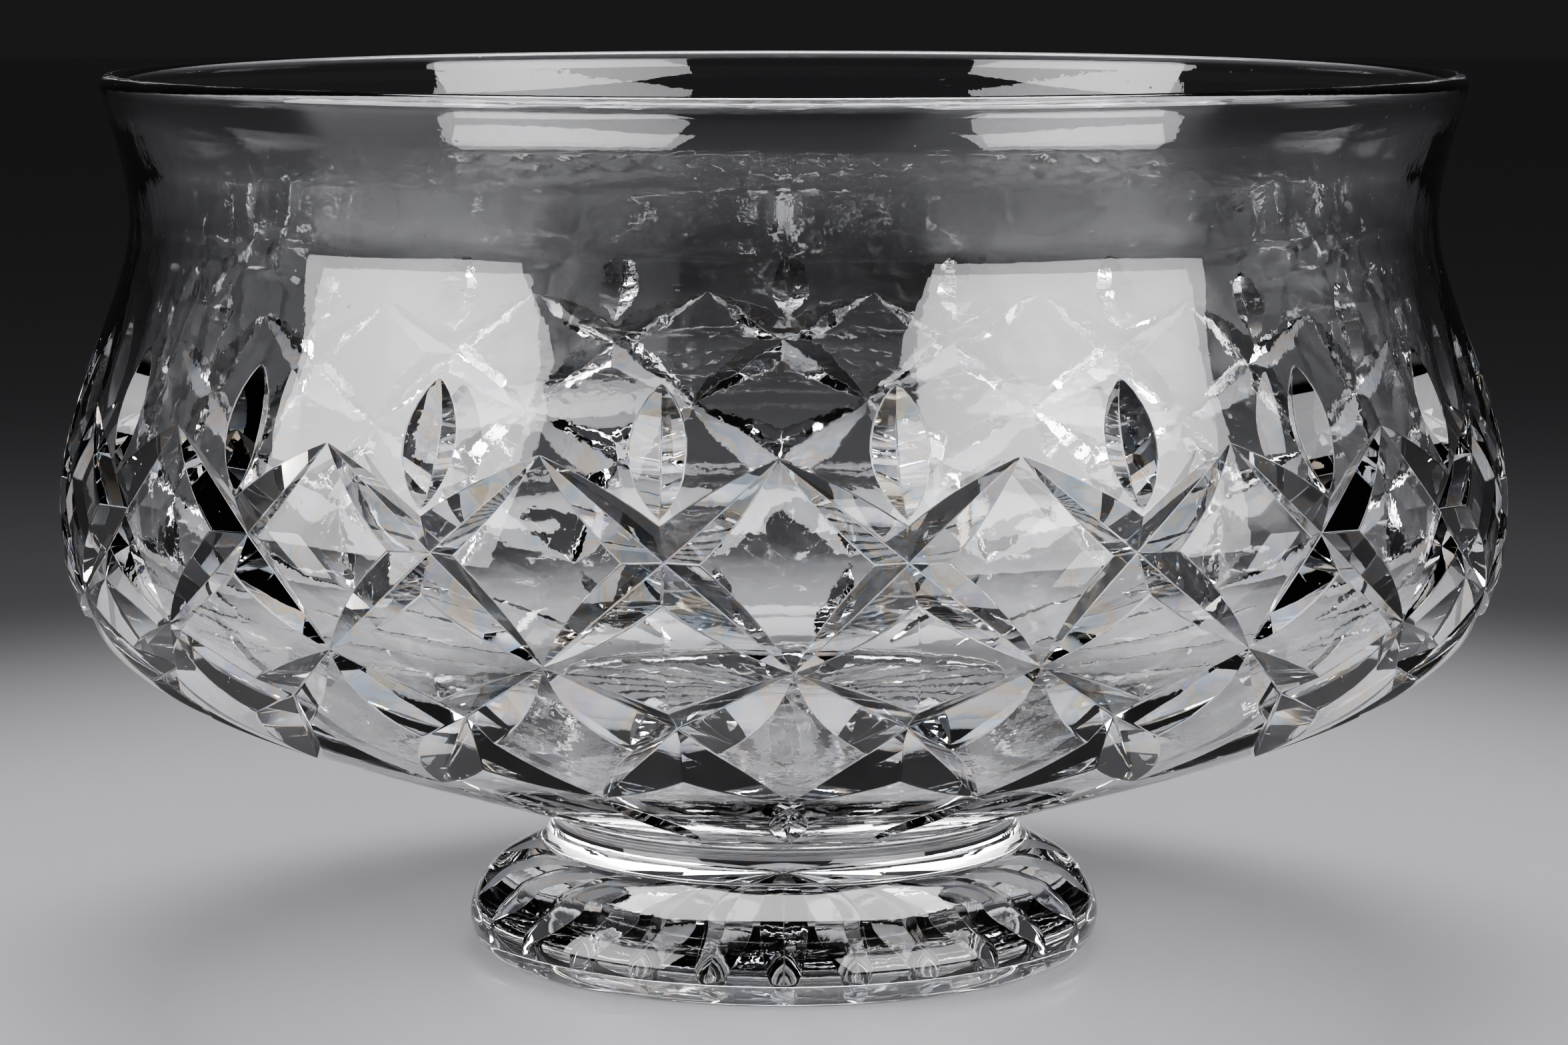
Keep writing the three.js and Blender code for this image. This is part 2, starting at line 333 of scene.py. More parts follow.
def dipped(angle, low_run, high_run, depth, half_angle, steps):
    """A leaf-shaped cut from one dip of a wheel, up a column line: its bottom sinks from one
    point to the other by a parabola raised to a power just under 1, which fills its ends a
    little, and one flank climbs to its border."""
    end_filling = 0.85
    share = np.concatenate([[0, 0.03], np.linspace(0.1, 0.9, steps), [0.97, 1]])
    run = low_run + share * (high_run - low_run)
    way_out = outward(angle, (low_run + high_run) / 2)
    sink = depth * (4 * share * (1 - share)) ** end_filling
    bottom = on_outside(angle, run) - sink[:, None] * way_out
    level = np.array([np.cos(angle), np.sin(angle), 0.0])
    towards = -level if angle > 0 else level
    leaving = np.cos(half_angle) * way_out + np.sin(half_angle) * towards
    border = surfaced(bottom, leaving)
    border[0] = bottom[0]
    border[-1] = bottom[-1]
    return bottom, border


# Where the rows of cuts lie: heights above the belly or below it, and insets from a radius.
point_rise = 26.2
upper_crossing_rise = 8.2
meeting_drop = 11.2
lower_crossing_drop = 27.3
low_point_inset = 33.5
upper_cut_depth = 3.6
lower_cut_depth = 5.0
leaf_low_rise = 15.8
leaf_high_rise = 38.8
leaf_depth = 3.5
flute_seat_margin = 8.0
flute_belly_inset = 38.0
flute_depth = 2.6
dip_steps = 9

point_run = run_at_height(belly_height + point_rise)
upper_crossing_run = run_at_height(belly_height + upper_crossing_rise)
meeting_run = run_at_height(belly_height - meeting_drop)
lower_crossing_run = run_at_height(belly_height - lower_crossing_drop)
low_point_run = run_at_radius(belly_radius - low_point_inset)
upper_ring = crossed_ring(point_run, upper_crossing_run, meeting_run, upper_cut_depth)
lower_ring = crossed_ring(meeting_run, lower_crossing_run, low_point_run, lower_cut_depth)
leaf_low_run = run_at_height(belly_height + leaf_low_rise)
leaf_high_run = run_at_height(belly_height + leaf_high_rise)
leaf = dipped(column_half, leaf_low_run, leaf_high_run, leaf_depth, leaf_half_angle, dip_steps)
flute_low_run = run_at_radius(seat_radius + flute_seat_margin)
flute_high_run = run_at_radius(belly_radius - flute_belly_inset)
flute = dipped(0.0, flute_low_run, flute_high_run, flute_depth, cut_half_angle, dip_steps)

patches = []
for ring in (upper_ring, lower_ring):
    patches += [ruled(bottom, border, across_cut) for bottom, border in ring.values()]
patches.append(ruled(*leaf, across_cut))
patches.append(ruled(*flute, across_cut))
cut_patches = len(patches)

# The smooth diamonds between the arms of one ring, from the column line to the diamond's edge.
for ring in (upper_ring, lower_ring):
    diamond_edge = np.vstack([ring["upper_inner"][1], ring["lower_inner"][1][::-1][1:]])
    place = surface_place(diamond_edge)
    start_run, end_run = place[0, 1], place[-1, 1]
    middle_run = start_run + (end_run - start_run) * np.r_[
        along_cut * 0.5, 1 - (along_cut * 0.5)[::-1][1:]
    ]
    column_line = on_outside(0.0, middle_run)
    column_line[0], column_line[-1] = diamond_edge[0], diamond_edge[-1]
    patches.append(level_blank(column_line, diamond_edge, across_blank))

# The smooth lens between the two rings of cuts.
patches.append(
    level_blank(upper_ring["lower_outer"][1], lower_ring["upper_outer"][1], across_blank)
)

# The smooth shoulder above the upper ring, round the upright leaf, up to the waist.
shoulder_run = run_at_height(waist_height)
notch = upper_ring["upper_outer"][1]
gap = notch[-1] + np.array([[0.12], [0.5], [0.88]]) * (leaf[1][0] - notch[-1])
gap_place = surface_place(gap)
above_leaf = np.array([0.012, 0.08, 0.2, 0.36, 0.55, 0.76, 1.0])
above_run = leaf_high_run + above_leaf * (shoulder_run - leaf_high_run)
right_edge = np.vstack(
    [
        notch[-1:],
        on_outside(column_half, gap_place[:, 1]),
        leaf[1],
        on_outside(column_half, above_run),
    ]
)
right_run = surface_place(right_edge)[:, 1]
left_share = (right_run - right_run[0]) / (right_run[-1] - right_run[0])
left_edge = on_outside(0.0, point_run + left_share * (shoulder_run - point_run))
left_edge[0] = notch[0]
top_edge = on_outside(column_shares * column_half, shoulder_run)
patches.append(framed_blank(notch, top_edge, left_edge, right_edge))

# The smooth underside below the lower ring, round the flute, down to the seat.
low_notch = lower_ring["lower_outer"][1]
below_tip = np.array([0.12, 0.5, 0.88])
tip_run = flute_high_run + below_tip * (low_point_run - flute_high_run)
to_seat = np.array([0, 0.35, 0.75, 0.97])
seat_run = to_seat * flute_low_run
left_edge = np.vstack([on_outside(0.0, seat_run), flute[1], on_outside(0.0, tip_run), low_notch[:1]])
left_run = surface_place(left_edge)[:, 1]
left_share = (left_run - left_run[0]) / (left_run[-1] - left_run[0])
right_edge = on_outside(column_half, left_share * surface_place(low_notch[-1])[1])
right_edge[-1] = low_notch[-1]
seat_edge = on_outside(column_shares * column_half, 0.0)
patches.append(framed_blank(seat_edge, low_notch, left_edge, right_edge))


def turned_rows(outline, angles):
    """An outline turned through each of the angles: one row of points for each angle."""
    angle = angles[:, None]
    radius, height = outline[:, 0][None], outline[:, 1][None]
    return np.stack(
        np.broadcast_arrays(radius * np.sin(angle), -radius * np.cos(angle), height), axis=-1
    )


# Everything that isn't cut: waist to lip, the rounded lip, the inside and the flat seat.
rim_rows = 15
inside_rows = 32
rim_share = np.linspace(0, 1, rim_rows)
waist_to_lip_run = shoulder_run + rim_share * (outside_run[-1] - shoulder_run)
waist_to_lip = on_outside(0.0, waist_to_lip_run)[:, [1, 2]] * [-1, 1]
lip_turn = np.linspace(0, np.pi, rim_rows)[:, None]
lip = np.array([[rim_radius - lip_radius, lip_height]]) + lip_radius * np.hstack(
    [np.cos(lip_turn), np.sin(lip_turn)]
)
inner_run = np.linspace(0, 1, inside_rows) * inside_run[-1]
inner = np.stack([np.interp(inner_run, inside_run, inside[:, k]) for k in (0, 1)], axis=-1)
plain_outline = joined(waist_to_lip, lip, inner)
patches.append(turned_rows(plain_outline, column_shares * column_half))
seat_rings = seat_radius * np.array([0.0, 0.5, 1.0])
seat_outline = np.stack([seat_rings, np.full_like(seat_rings, bowl_base)], axis=-1)
seat_patch = turned_rows(seat_outline, column_shares * column_half)


def faces_of(points):
    """The quads of a grid of points, as corner numbers."""
    rows, cells = points.shape[:2]
    corner = np.arange(rows * cells).reshape(rows, cells)
    return np.stack(
        [corner[:-1, :-1], corner[1:, :-1], corner[1:, 1:], corner[:-1, 1:]], axis=-1
    ).reshape(-1, 4)


def full_circle(grids, sectors, cut_grids):
    """All patches of half a sector, mirrored to a whole one and turned right round, with a mark
    for each point: 1 in the patches that the wheel cut, which come first, and 0 elsewhere."""
    points, quads, marks, count = [], [], [], 0
    for number, grid in enumerate(grids):
        points.append(grid.reshape(-1, 3))
        quads.append(faces_of(grid) + count)
        marks.append(np.full(len(points[-1]), float(number < cut_grids)))
        count += len(points[-1])
    points, quads = np.vstack(points), np.vstack(quads)
    sector = np.vstack([points, points * [-1, 1, 1]])
    sector_quads = np.vstack([quads, quads + count])
    turn = 2 * np.pi * np.arange(sectors)[:, None] / sectors
    x, y, z = sector.T[:, None]
    turned = [x * np.cos(turn) - y * np.sin(turn), x * np.sin(turn) + y * np.cos(turn)]
    points = np.stack(turned + [np.broadcast_to(z, turned[0].shape)], axis=-1)
    shift = (2 * count * np.arange(sectors))[:, None, None]
    marks = np.tile(np.concatenate(marks), 2 * sectors)
    return points.reshape(-1, 3), (sector_quads[None] + shift).reshape(-1, 4), marks


def make_piece(name, shape, glass, seams):
    """A closed mesh in metres from points in millimetres: doubled points are welded, the faces
    are turned outwards, and the flat faces at the seam heights get the seam's material."""
    weld_distance = 2e-6
    level_enough, near_enough = 0.999, 1e-3
    points, quads, marks = shape
    mesh = bpy.data.meshes.new(name)
    mesh.from_pydata(points * MM, [], quads)
    cut = mesh.attributes.new("cut", "FLOAT", "POINT")
    cut.data.foreach_set("value", marks)
    body = bmesh.new()
    body.from_mesh(mesh)
    bmesh.ops.remove_doubles(body, verts=body.verts, dist=weld_distance)
    bmesh.ops.recalc_face_normals(body, faces=body.faces)
    body.to_mesh(mesh)
    body.free()
    mesh.shade_smooth()
    mesh.materials.append(glass)
    mesh.materials.append(seam)
    centres = np.zeros(len(mesh.polygons) * 3)
    normals = np.zeros(len(mesh.polygons) * 3)
    mesh.polygons.foreach_get("center", centres)
    mesh.polygons.foreach_get("normal", normals)
    centre_heights = centres[2::3] / MM
    level = np.abs(normals[2::3]) > level_enough
    at_seam = np.any([np.abs(centre_heights - height) < near_enough for height in seams], axis=0)
    mesh.polygons.foreach_set("material_index", (level & at_seam).astype(np.int32))
    piece = bpy.data.objects.new(name, mesh)
    scene.collection.objects.link(piece)
    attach(piece, "root")
    return piece


def node(tree, kind, place=(0, 0), **settings):
    """A new shader node at a place in its tree, with its settings."""
    made = tree.nodes.new(kind)
    made.location = place
    for name, value in settings.items():
        setattr(made, name, value)
    return made


def wired(group, kind, inputs, **settings):
    """A node whose inputs are given by name: a socket is linked and a number is set."""
    made = node(group, kind, **settings)
    for key, value in inputs.items():
        if isinstance(value, bpy.types.NodeSocket):
            group.links.new(value, made.inputs[key])
        else:
            made.inputs[key].default_value = value
    return made.outputs


def reckon(group, operation, *terms):
    """The value of a math node: its operation done on two or three terms."""
    return wired(group, "ShaderNodeMath", dict(enumerate(terms)), operation=operation)["Value"]


def ramp_of(group, value, low, high):
    """0 below the low value, 1 above the high one, and even between them."""
    limits = {"Value": value, "From Min": low, "From Max": high}
    return wired(group, "ShaderNodeMapRange", limits)["Result"]


def new_group(name, inputs, outputs):
    """A node group with named number inputs and named outputs of the given socket types."""
    group = bpy.data.node_groups.new(name, "ShaderNodeTree")
    for label, value in inputs.items():
        socket = group.interface.new_socket(label, in_out="INPUT", socket_type="NodeSocketFloat")
        socket.default_value = value
    for label, kind in outputs.items():
        group.interface.new_socket(label, in_out="OUTPUT", socket_type=kind)
    given = node(group, "NodeGroupInput", (-900, 0)).outputs
    out = node(group, "NodeGroupOutput", (900, 0)).inputs
    return group, given, out


def polished_surface():
    """Polished crystal: a height that adds broad waves from the polishing to fine ones, and a
    roughness that adds faint smears, round specks of dust and hair-thin scratches."""
    group, given, out = new_group(
        "polished_surface",
        {
            "Wave scale": 60.0,
            "Wave height": 1.0,
            "Fine height": 0.3,
            "Dust": 1.0,
            "Scratches": 1.0,
            "Smears": 1.0,
        },
        {"Height": "NodeSocketFloat", "Roughness": "NodeSocketFloat"},
    )
    here = node(group, "ShaderNodeTexCoord").outputs["Object"]
    broad_noise = {"Vector": here, "Scale": given["Wave scale"], "Detail": 1.5}
    broad = wired(group, "ShaderNodeTexNoise", broad_noise)["Fac"]
    fine_noise = {"Vector": here, "Scale": 420.0, "Detail": 2.0}
    fine_waves = wired(group, "ShaderNodeTexNoise", fine_noise)["Fac"]
    thin = reckon(group, "MULTIPLY", fine_waves, given["Fine height"])
    height = reckon(group, "MULTIPLY_ADD", broad, given["Wave height"], thin)
    group.links.new(height, out["Height"])

    # Dust: a small disc in a few of the cells, each 4 mm across, of a size picked for the cell.
    smallest_speck, speck_spread, speckless = 0.03, 0.07, 0.965
    cells = wired(group, "ShaderNodeTexVoronoi", {"Vector": here, "Scale": 260.0})
    picked = wired(group, "ShaderNodeSeparateColor", {"Color": cells["Color"]})
    speck_size = reckon(group, "MULTIPLY_ADD", picked["Green"], speck_spread, smallest_speck)
    inside_speck = reckon(group, "LESS_THAN", cells["Distance"], speck_size)
    rare = reckon(group, "GREATER_THAN", picked["Red"], speckless)
    specks = reckon(group, "MULTIPLY", inside_speck, rare)
    specks = reckon(group, "MULTIPLY", specks, given["Dust"])

    # Scratches: the same, in cells drawn out into hairs 70 mm long that run aslant.
    hair_width, hairless = 0.07, 0.90
    slant = {"Vector": here, "Rotation": (0.4, 0.9, 0.5), "Scale": (14.0, 260.0, 260.0)}
    turned = wired(group, "ShaderNodeMapping", slant)["Vector"]
    hairs = wired(group, "ShaderNodeTexVoronoi", {"Vector": turned, "Scale": 1.0})
    hair_picked = wired(group, "ShaderNodeSeparateColor", {"Color": hairs["Color"]})["Red"]
    inside_hair = reckon(group, "LESS_THAN", hairs["Distance"], hair_width)
    rare_hair = reckon(group, "GREATER_THAN", hair_picked, hairless)
    scratches = reckon(group, "MULTIPLY", inside_hair, rare_hair)
    scratches = reckon(group, "MULTIPLY", scratches, given["Scratches"])

    # Smears: the high parts of a cloudy noise, where a wiping cloth left a film.
    cloud_noise = {"Vector": here, "Scale": 24.0, "Detail": 5.0, "Roughness": 0.65}
    cloudy = wired(group, "ShaderNodeTexNoise", cloud_noise)["Fac"]
    smear_low, smear_high = 0.54, 0.80
    cloudy = ramp_of(group, cloudy, smear_low, smear_high)
    smears = reckon(group, "MULTIPLY", cloudy, given["Smears"])

    polished, smeared, scratched, dusty = 0.004, 0.05, 0.35, 0.8
    rough = reckon(group, "MULTIPLY_ADD", smears, smeared, polished)
    rough = reckon(group, "MULTIPLY_ADD", scratches, scratched, rough)
    rough = reckon(group, "MULTIPLY_ADD", specks, dusty, rough)
    group.links.new(rough, out["Roughness"])
    return group


def painted_dispersion_bands():
    """Painted fire of lead crystal: colour fringes of dispersed light painted into the glass's
    colour, as thin bands, warm on one side and cold on the other, that follow a warped noise on
    either side of its middle value. The wheel-cut faces get the strongest painted fringes."""
    group, given, out = new_group(
        "painted_dispersion_bands",
        {"Fringe scale": 80.0, "On cuts": 1.0, "Elsewhere": 0.1},
        {"Color": "NodeSocketColor"},
    )
    here = node(group, "ShaderNodeTexCoord").outputs["Object"]
    warped = {"Vector": here, "Scale": given["Fringe scale"], "Detail": 1.0, "Distortion": 0.6}
    field = wired(group, "ShaderNodeTexNoise", warped)["Fac"]
    ramp = node(group, "ShaderNodeValToRGB")
    group.links.new(field, ramp.inputs["Fac"])
    # The ramp paints rainbow bands of dispersed light into the clear glass's colour.
    clear = (0.985, 0.99, 0.99, 1)
    spectrum = (
        (0.36, clear),
        (0.40, (0.99, 0.72, 0.48, 1)),
        (0.435, (0.99, 0.92, 0.66, 1)),
        (0.47, (0.52, 0.74, 0.99, 1)),
        (0.51, clear),
        (0.585, clear),
        (0.615, (0.62, 0.66, 0.99, 1)),
        (0.645, (0.99, 0.76, 0.56, 1)),
        (0.68, clear),
    )
    stops = ramp.color_ramp.elements
    stops[0].position, stops[0].color = 0.0, clear
    stops[-1].position, stops[-1].color = 1.0, clear
    for position, colour in spectrum:
        stops.new(position).color = colour
    # The painted dispersion fringes are strong on the wheel-cut faces and faint elsewhere.
    cut = node(group, "ShaderNodeAttribute", attribute_name="cut").outputs["Fac"]
    elsewhere = reckon(group, "SUBTRACT", 1.0, cut)
    plain_part = reckon(group, "MULTIPLY", elsewhere, given["Elsewhere"])
    strength = reckon(group, "MULTIPLY_ADD", cut, given["On cuts"], plain_part)
    # A mix node keeps its colour sockets after those for numbers and vectors.
    colour_a, colour_b, colour_result = 6, 7, 2
    parts = {"Factor": strength, colour_a: clear, colour_b: ramp.outputs["Color"]}
    mixed = wired(group, "ShaderNodeMix", parts, data_type="RGBA")
    group.links.new(mixed[colour_result], out["Color"])
    return group


polish = polished_surface()
fringes = painted_dispersion_bands()


def crystal_material(name, polish_values, painted_fringe_values):
    """Clear lead crystal: all transmission, with the polish given and painted colour fringes of
    dispersed light in its colour. The polishing waves stand a few hundredths of a millimetre high."""
    wave_rise = 0.00004
    lead_crystal_ior = 1.545
    material = bpy.data.materials.new(name)
    material.use_nodes = True
    tree = material.node_tree
    shader = tree.nodes["Principled BSDF"]
    shader.inputs["IOR"].default_value = lead_crystal_ior
    shader.inputs["Transmission Weight"].default_value = 1.0
    surface = wired(tree, "ShaderNodeGroup", {}, node_tree=polish)
    fire = wired(tree, "ShaderNodeGroup", {}, node_tree=fringes)
    for outputs, values in ((surface, polish_values), (fire, painted_fringe_values)):
        for label, value in values.items():
            outputs[0].node.inputs[label].default_value = value
    bump = {"Strength": 1.0, "Distance": wave_rise, "Height": surface["Height"]}
    bumped = wired(tree, "ShaderNodeBump", bump)["Normal"]
    tree.links.new(bumped, shader.inputs["Normal"])
    tree.links.new(surface["Roughness"], shader.inputs["Roughness"])
    # The glass's colour carries the painted dispersion: rainbow bands painted where light would
    # split into colours.
    tree.links.new(fire["Color"], shader.inputs["Base Color"])
    return material


# The fused seam: glass against glass, so light goes straight on and nothing is seen.
seam = bpy.data.materials.new("fused_seam")
seam.use_nodes = True
seam.node_tree.nodes["Principled BSDF"].inputs["Alpha"].default_value = 0.0


# The wheel never meets the same line twice: each row of cuts is a little off its column, and
# each column a little off its even place.
def hand_cut(shape):
    """Turns points about the axis by an angle in degrees that goes evenly from one value where
    the two rings of cuts meet to another at the upper points, plus a slow wave with three crests
    round the bowl and a quicker one with eight, which lags as it rises."""
    low_turn, turn_change = 0.5, -0.95
    slow_wave, slow_start, quick_wave, quick_lag = 0.16, 1.0, 0.14, 4
    lowest_drop, climb = 11.0, 37.0
    points, quads, marks = shape
    around = np.arctan2(points[:, 0], -points[:, 1])
    rise = np.clip((points[:, 2] - (belly_height - lowest_drop)) / climb, 0, 1)
    waves = slow_wave * np.sin(3 * around + slow_start)
    waves = waves + quick_wave * np.sin(8 * around + quick_lag * rise)
    turn = np.radians(low_turn + turn_change * rise + waves)
    x, y = points[:, 0], points[:, 1]
    turned = [x * np.cos(turn) - y * np.sin(turn), x * np.sin(turn) + y * np.cos(turn)]
    return np.stack(turned + [points[:, 2]], axis=-1), quads, marks


# Its colour carries painted dispersion fringes, strongest on the cut faces.
bowl_glass = crystal_material(
    "cut_crystal",
    {"Wave scale": 60.0, "Wave height": 1.0, "Fine height": 0.2},
    {"Fringe scale": 85.0, "On cuts": 0.9, "Elsewhere": 0.06},
)
bowl_shape = hand_cut(full_circle(patches + [seat_patch], columns, cut_patches))
bowl = make_piece("cut_bowl", bowl_shape, bowl_glass, (bowl_base,))
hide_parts("bowl")

# ---------------------------------------------------------------------------------------------
# The collar. A short waisted merese of solid crystal, gathered hot between bowl and foot, and
# fused to both. It is left as the fire made it, with soft rings round it.
# ---------------------------------------------------------------------------------------------
foot_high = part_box("foot")[1]
foot_top = (foot_high.z + collar_low.z) / 2 / MM
foot_top_radius = 51.5
foot_top_slope = np.radians(45.0)
collar_hollow = 0.9
collar_fullness = 0.4
collar_rows = 20
collar_rise = bowl_base - foot_top


def leaning(radius, height, slope, distance):
    """A point a distance back down a rising outline that leans inwards at a slope."""
    return (radius + distance * np.cos(slope), height - distance * np.sin(slope))


hollow = bend(
    (foot_top_radius, foot_top),
    leaning(foot_top_radius, foot_top, foot_top_slope, -collar_fullness * collar_rise),
    (seat_radius - collar_hollow * np.sqrt(2), bowl_base - collar_rise / 3),
    (seat_radius, bowl_base),
    np.linspace(0, 1, collar_rows),
)
collar_outline = np.vstack([[[0, foot_top]], hollow, [[0, bowl_base]]])
collar_turns = 60
collar_shares = np.array([0, 0.5, 1]) * np.pi / collar_turns
# Its colour carries painted dispersion fringes, the same over the whole collar.
collar_glass = crystal_material(
    "fire_polished_crystal",
    {"Wave scale": 45.0, "Wave height": 1.2, "Fine height": 0.1, "Scratches": 0.3},
    {"Fringe scale": 60.0, "Elsewhere": 0.35},
)
collar_shape = full_circle([turned_rows(collar_outline, collar_shares)], collar_turns, 0)
collar = make_piece("fused_collar", collar_shape, collar_glass, (foot_top, bowl_base))
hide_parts("collar")

# ---------------------------------------------------------------------------------------------
# The foot. A thick low dome of solid crystal, smooth on top, ground flat below with a star of
# straight V cuts from the centre. It stands on the flat ring outside the star's points.
# ---------------------------------------------------------------------------------------------
foot_radius = foot_high.x / MM
foot_equator = 5.9
standing_inset = 2.5
standing_ring_width = 5.5
shoulder_inset = 6.0
shoulder_height = 16.0
shoulder_slope = np.radians(35.0)
edge_reach = 0.6
edge_fullness = 0.25
wall_fullness = 0.33
dome_fullness = 0.31
foot_rows = 16

hollow_height = 3.6
hollow_wall_run = 1.5
star_rays = 24
star_half_angle = np.radians(65.0)
star_centre_depth = 3.3
star_knee_depth = 1.6
star_knee_inset = 7.0
star_end_margin = 0.7

standing_radius = foot_radius - standing_inset
ring_inner_radius = standing_radius - standing_ring_width
hollow_radius = ring_inner_radius - hollow_wall_run
shoulder_radius = foot_radius - shoulder_inset
star_knee_radius = hollow_radius - star_knee_inset
star_end_radius = hollow_radius - star_end_margin
wall_reach = wall_fullness * (shoulder_height - foot_equator)
dome_reach = dome_fullness * (shoulder_radius - foot_top_radius)
footing = np.linspace(0, 1, foot_rows)
foot_outline = joined(
    bend(
        (standing_radius, 0),
        (foot_radius - edge_reach, edge_fullness * foot_equator),
        (foot_radius, (1 - edge_fullness) * foot_equator),
        (foot_radius, foot_equator),
        footing,
    ),
    bend(
        (foot_radius, foot_equator),
        (foot_radius, foot_equator + wall_reach),
        leaning(shoulder_radius, shoulder_height, shoulder_slope, wall_reach),
        (shoulder_radius, shoulder_height),
        footing,
    ),
    bend(
        (shoulder_radius, shoulder_height),
        leaning(shoulder_radius, shoulder_height, shoulder_slope, -dome_reach),
        leaning(foot_top_radius, foot_top, foot_top_slope, dome_reach),
        (foot_top_radius, foot_top),
        footing,
    ),
    np.array([[foot_top_radius, foot_top], [0, foot_top]]),
)
ray_half = np.pi / star_rays
ray_slope = (star_centre_depth - star_knee_depth) / star_knee_radius
ray_steep = 1 / np.tan(star_half_angle)
run_out = star_centre_depth - ray_slope * star_end_radius


def star_cut(radius, angle):
    """Height of a ray's flank: the V's bottom line, which sinks evenly from the centre and past
    the knee by a square as well, less the flank's fall away from that line."""
    along = radius * np.cos(angle)
    past_knee = np.maximum(along - star_knee_radius, 0) / (star_end_radius - star_knee_radius)
    bottom = star_centre_depth - ray_slope * along - run_out * past_knee**2
    return hollow_height + bottom - ray_steep * radius * np.sin(angle)


def round_grid(radius, angle, height):
    """Points at a radius and an angle from the front, at a height."""
    angle = angle[:, None]
    return np.stack([radius * np.sin(angle), -radius * np.cos(angle), height], axis=-1)


# The border of a ray, where its flank comes out on the hollow's ceiling, found by halving.
ray_shares = ray_half * np.array([0, 0.02, 0.12, 0.24, 0.36, 0.5, 0.64, 0.8, 0.96, 1])
border_halvings = 50
in_cut, out_cut = np.zeros(len(ray_shares)), np.full(len(ray_shares), star_end_radius)
for _ in range(border_halvings):
    middle = (in_cut + out_cut) / 2
    cut_here = star_cut(middle, ray_shares) > hollow_height
    in_cut, out_cut = np.where(cut_here, middle, in_cut), np.where(cut_here, out_cut, middle)
border = out_cut[:, None]
star_shares = np.array([0, 0.06, 0.16, 0.3, 0.45, 0.6, 0.73, 0.83, 0.88, 0.93, 0.97, 0.993, 1])
star_radius = border * star_shares
star_height = star_cut(star_radius, ray_shares[:, None])
star_height[:, -1] = hollow_height
star = round_grid(star_radius, ray_shares, star_height)
ceiling_radius = border + (hollow_radius - border) * np.array([0, 0.02, 0.1, 0.5, 0.96, 1])
ceiling = round_grid(ceiling_radius, ray_shares, np.full_like(ceiling_radius, hollow_height))
wall_shares = np.array([0, 0.03, 0.2, 0.5, 0.8, 0.97, 1])
wall_radius = hollow_radius + (ring_inner_radius - hollow_radius) * wall_shares
wall_height = hollow_height * (1 - wall_shares)
hollow_wall = round_grid(
    np.broadcast_to(wall_radius, (len(ray_shares), len(wall_shares))),
    ray_shares,
    np.broadcast_to(wall_height, (len(ray_shares), len(wall_shares))),
)
ring_shares = np.array([0, 0.05, 0.35, 0.65, 0.95, 1])
ring_radius = ring_inner_radius + ring_shares * (standing_radius - ring_inner_radius)
ring_radius = np.broadcast_to(ring_radius, (len(ray_shares), len(ring_shares)))
standing_ring = round_grid(ring_radius, ray_shares, np.zeros_like(ring_radius))
foot_side = turned_rows(foot_outline, ray_shares)
foot_grids = [star, ceiling, hollow_wall, standing_ring, foot_side]
# Its colour carries painted dispersion fringes, stronger in the star's rays.
foot_glass = crystal_material(
    "star_cut_crystal",
    {"Wave scale": 50.0, "Wave height": 1.0, "Fine height": 0.2, "Dust": 0.6},
    {"Fringe scale": 70.0, "On cuts": 0.6, "Elsewhere": 0.25},
)
foot = make_piece("star_cut_foot", full_circle(foot_grids, star_rays, 1), foot_glass, (foot_top,))
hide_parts("foot")

# ---------------------------------------------------------------------------------------------
# The studio: a floor whose colour is pale in the middle and painted darker with distance, a painted
# falloff of light, two big soft boxes in front, one behind and above, and a dim surround, so that
# the cuts have something dark and something bright to show.
# ---------------------------------------------------------------------------------------------
floor_mesh = bpy.data.meshes.new("floor")
floor_reach = 6.0
floor_drop = 0.0002
floor_corners = [(-1, -1), (1, -1), (1, 1), (-1, 1)]
floor_mesh.from_pydata(
    [(x * floor_reach, y * floor_reach, -floor_drop) for x, y in floor_corners], [], [(0, 1, 2, 3)]
)
floor = bpy.data.objects.new("floor", floor_mesh)
scene.collection.objects.link(floor)
floor_light_pool_paint = bpy.data.materials.new("floor_with_painted_light_pool")
floor_light_pool_paint.use_nodes = True
floor_shader = floor_light_pool_paint.node_tree.nodes["Principled BSDF"]
floor_shader.inputs["Roughness"].default_value = 0.3
floor_tree = floor_light_pool_paint.node_tree
floor_place = node(floor_tree, "ShaderNodeTexCoord").outputs["Object"]
floor_radius = node(floor_tree, "ShaderNodeVectorMath", operation="LENGTH")
floor_light_falloff_ramp = node(floor_tree, "ShaderNodeValToRGB")
floor_tree.links.new(floor_place, floor_radius.inputs[0])
floor_tree.links.new(floor_radius.outputs["Value"], floor_light_falloff_ramp.inputs["Fac"])
floor_tree.links.new(floor_light_falloff_ramp.outputs["Color"], floor_shader.inputs["Base Color"])
# The floor's colour is a painted pool of light: pale out to 0.2 m from the middle, then painted
# shade darkening to near black by 0.52 m, as if the light fell off.
floor_light_falloff_ramp.color_ramp.interpolation = "EASE"
painted_lit_stop, painted_falloff_stop = floor_light_falloff_ramp.color_ramp.elements
painted_lit_stop.position, painted_lit_stop.color = 0.20, (0.48, 0.48, 0.49, 1)
painted_falloff_stop.position, painted_falloff_stop.color = 0.52, (0.085, 0.085, 0.088, 1)
floor_mesh.materials.append(floor_light_pool_paint)

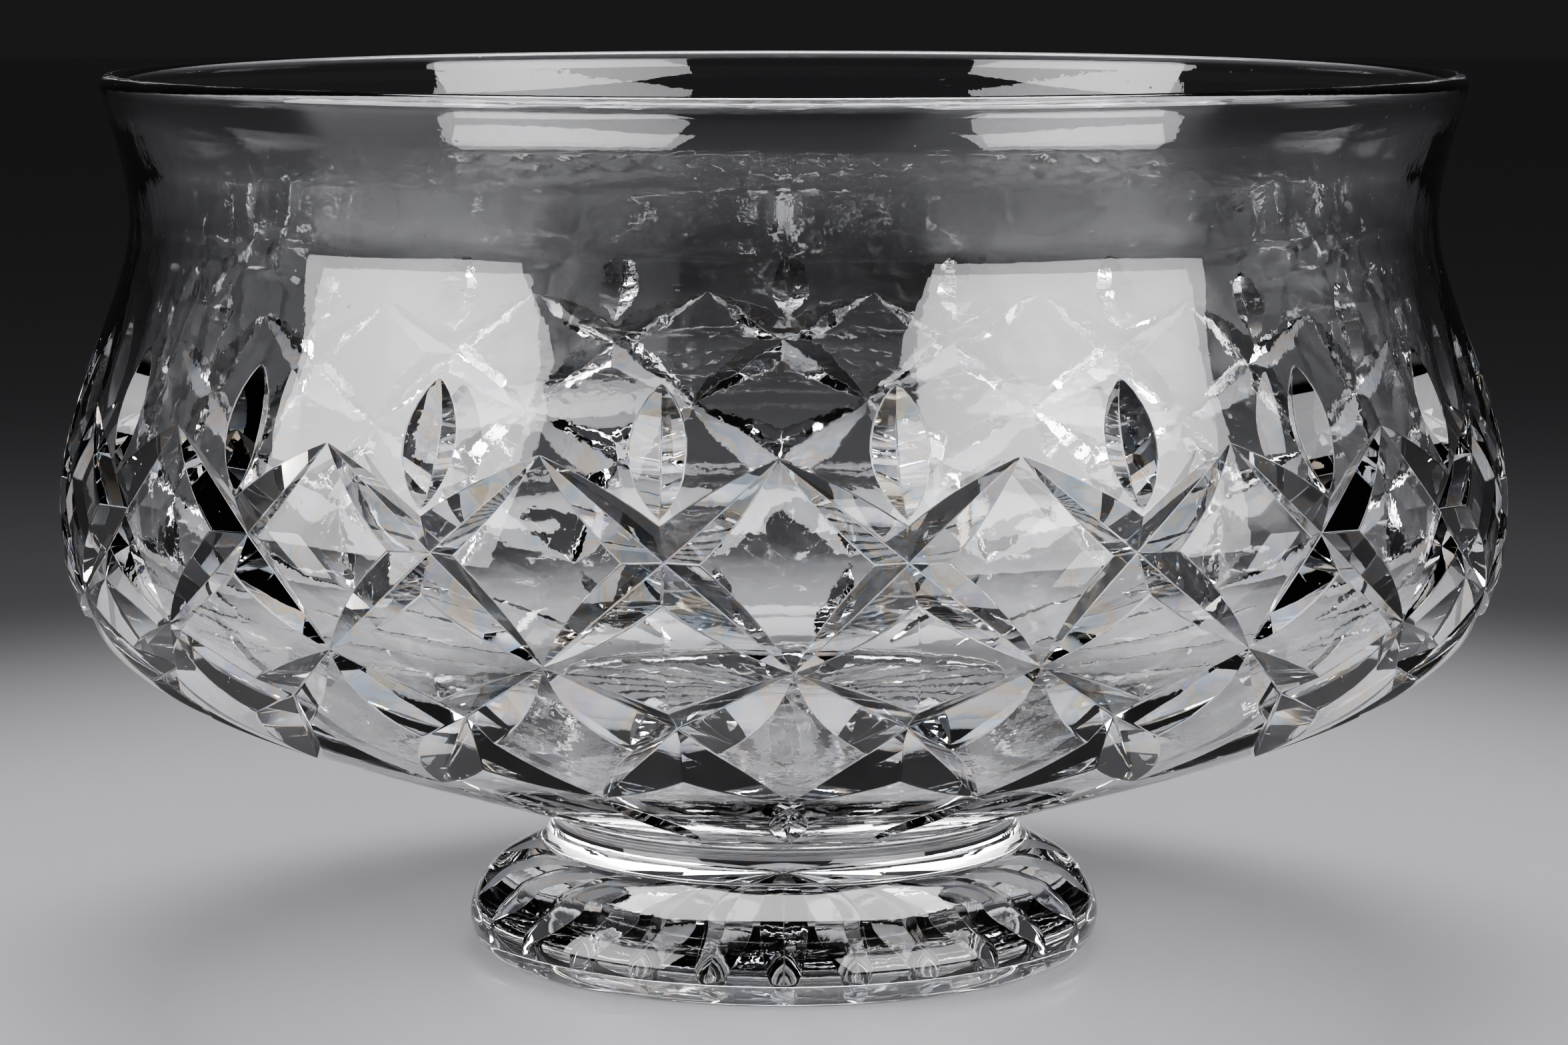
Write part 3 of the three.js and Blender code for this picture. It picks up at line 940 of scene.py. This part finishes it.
surround = bpy.data.worlds.new("studio_surround")
scene.world = surround
surround.use_nodes = True
sky = surround.node_tree
sky_place = node(sky, "ShaderNodeTexCoord").outputs["Generated"]
sky_split = node(sky, "ShaderNodeSeparateXYZ")
sky_ramp = node(sky, "ShaderNodeValToRGB")
sky.links.new(sky_place, sky_split.inputs["Vector"])
sky.links.new(sky_split.outputs["Z"], sky_ramp.inputs["Fac"])
sky.links.new(sky_ramp.outputs["Color"], sky.nodes["Background"].inputs["Color"])
level_stop, high_stop = sky_ramp.color_ramp.elements
level_stop.position, level_stop.color = 0.0, (0.02, 0.02, 0.021, 1)
high_stop.position, high_stop.color = 0.7, (0.07, 0.07, 0.075, 1)

cool_white = (0.98, 0.97, 1.0)
bowl_middle = 0.12
box_brightness = 10


def soft_box(name, around, rise, distance, size, spread):
    """A rectangular soft light at an angle round from the front and a rise above the floor, both
    in degrees, facing the middle of the bowl. Its power is an even brightness times its area."""
    lamp = bpy.data.lights.new(name, "AREA")
    lamp.shape = "RECTANGLE"
    lamp.size, lamp.size_y = size
    lamp.energy = box_brightness * size[0] * size[1]
    lamp.spread = np.radians(spread)
    lamp.color = cool_white
    box = bpy.data.objects.new(name, lamp)
    scene.collection.objects.link(box)
    turn, lift = np.radians(around), np.radians(rise)
    way = Vector((np.sin(turn) * np.cos(lift), -np.cos(turn) * np.cos(lift), np.sin(lift)))
    box.location = way * distance + Vector((0, 0, bowl_middle))
    box.rotation_euler = way.to_track_quat("Z", "Y").to_euler()


soft_box("left_box", -63, 17, 1.4, (1.10, 0.80), 110)
soft_box("right_box", 47.5, 18, 1.4, (1.28, 0.86), 110)
soft_box("overhead_box", 180, 62, 1.2, (0.9, 0.5), 90)
scene.view_settings.look = "AgX - Medium High Contrast"

camera_distance = 0.899
camera_height = 0.213
camera_pitch = np.radians(7.92)
lens = bpy.data.cameras.new("studio_camera")
lens.sensor_width = 36.0
lens.lens = 99.2
camera = bpy.data.objects.new("studio_camera", lens)
scene.collection.objects.link(camera)
camera.location = (0.0, -camera_distance, camera_height)
camera.rotation_euler = Euler((np.pi / 2 - camera_pitch, 0.0, 0.0))
scene.camera = camera
